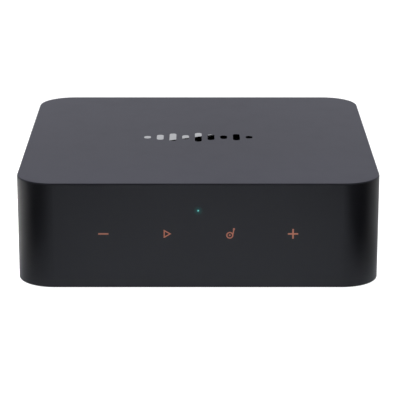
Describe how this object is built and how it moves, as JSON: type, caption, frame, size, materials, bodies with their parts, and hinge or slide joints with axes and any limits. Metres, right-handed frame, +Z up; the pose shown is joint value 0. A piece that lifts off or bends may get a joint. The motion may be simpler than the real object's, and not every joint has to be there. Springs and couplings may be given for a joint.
{
  "type": "bluetooth audio receiver",
  "caption": "Low rounded-square audio receiver with touch controls in front, sound-bar badge on top, and phono, optical, network, trigger and power sockets behind.",
  "frame": {"origin": "under the middle of the whole object's box, phono sockets included, on the surface it rests on", "axes": "+X to the right seen from the front, +Y towards the back where the sockets are, +Z up"},
  "size_m": [0.14, 0.1484, 0.042],
  "materials": {
    "housing_plastic": "fine satin moulded black plastic",
    "panel_plastic": "fine-textured black plastic",
    "base_plastic": "spark-textured black plastic",
    "badge_mirror": "polished mirror",
    "icon_inlay": "copper-coloured inlay",
    "status_lens": "clear, lit teal",
    "light_guide": "milky clear acrylic",
    "circuit_board": "green solder mask",
    "copper": "bare copper",
    "light_body": "clear moulded light",
    "chip_plastic": "moulded black",
    "ribbon_film": "amber film",
    "ivory_plastic": "ivory moulded",
    "foot_rubber": "matte black rubber",
    "screw_steel": "zinc-plated",
    "plate_steel": "plated sheet",
    "tinned_steel": "tinned sheet",
    "pad_silicone": "soft silicone",
    "sink_aluminium": "extruded, black anodised tips",
    "pin_nylon": "natural nylon",
    "lead_jacket": "thin smooth jacket",
    "can_aluminium": "printed-free can",
    "ceramic": "ceramic",
    "socket_plastic": "smooth black moulded",
    "nickel": "bright nickel plate",
    "gold_contact": "gold flash",
    "spring_steel": "drawn wire",
    "orange_insulator": "orange moulded",
    "white_insulator": "white moulded",
    "red_insulator": "red moulded"
  },
  "bodies": {
    "receiver": {"housing": "housing_plastic", "rear_panel": "panel_plastic", "base_cover": "base_plastic", "top_badge": "badge_mirror", "minus_icon": "icon_inlay", "play_icon": "icon_inlay", "preset_icon": "icon_inlay", "plus_icon": "icon_inlay", "status_light_pipe": "status_lens", "icon_light_guide": "light_guide", "main_board": "circuit_board", "touch_board": "circuit_board", "antennas": "circuit_board", "touch_electrodes": "copper", "touch_leds": "light_body", "lan_lights": "light_body", "touch_controller": "chip_plastic", "board_chips": "chip_plastic", "processor_chip": "chip_plastic", "dac_chip": "chip_plastic", "power_inductors": "chip_plastic", "optical_in_receiver": "chip_plastic", "optical_out_emitter": "chip_plastic", "touch_ribbon": "ribbon_film", "ribbon_sockets": "ivory_plastic", "rubber_foot": "foot_rubber", "base_screws": "screw_steel", "board_screws": "screw_steel", "weight_plate": "plate_steel", "processor_shield": "tinned_steel", "wireless_module": "tinned_steel", "crystals": "tinned_steel", "lan_shield": "tinned_steel", "usb_c_shell": "tinned_steel", "thermal_pad": "pad_silicone", "heat_sink": "sink_aluminium", "heat_sink_pins": "pin_nylon", "antenna_leads": "lead_jacket", "filter_capacitors": "can_aluminium", "small_components": "ceramic", "usb_c_tongue": "socket_plastic", "lan_insert": "socket_plastic", "trigger_jack_body": "socket_plastic", "optical_in_body": "socket_plastic", "optical_out_body": "socket_plastic", "coax_block": "socket_plastic", "line_blocks": "socket_plastic", "phono_barrels": "nickel", "trigger_jack_sleeve": "nickel", "phono_contacts": "gold_contact", "lan_contacts": "gold_contact", "coax_insulator": "orange_insulator", "left_insulators": "white_insulator", "right_insulators": "red_insulator"},
    "optical_in_door": {"optical_in_shutter": "socket_plastic", "optical_in_spring": "spring_steel"},
    "optical_out_door": {"optical_out_shutter": "socket_plastic", "optical_out_spring": "spring_steel"}
  },
  "joints": [
    {"name": "optical_in_door_hinge", "type": "hinge", "parent": "receiver", "child": "optical_in_door", "pos_m": [0.00401, 0.06305, 0.01905], "axis": [-1, 0, 0], "range_deg": [0, 90], "stiffness_Nm_per_rad": 0.0002, "springref_deg": -20.05},
    {"name": "optical_out_door_hinge", "type": "hinge", "parent": "receiver", "child": "optical_out_door", "pos_m": [-0.00781, 0.06305, 0.01905], "axis": [-1, 0, 0], "range_deg": [0, 90], "stiffness_Nm_per_rad": 0.0002, "springref_deg": -20.05}
  ]
}
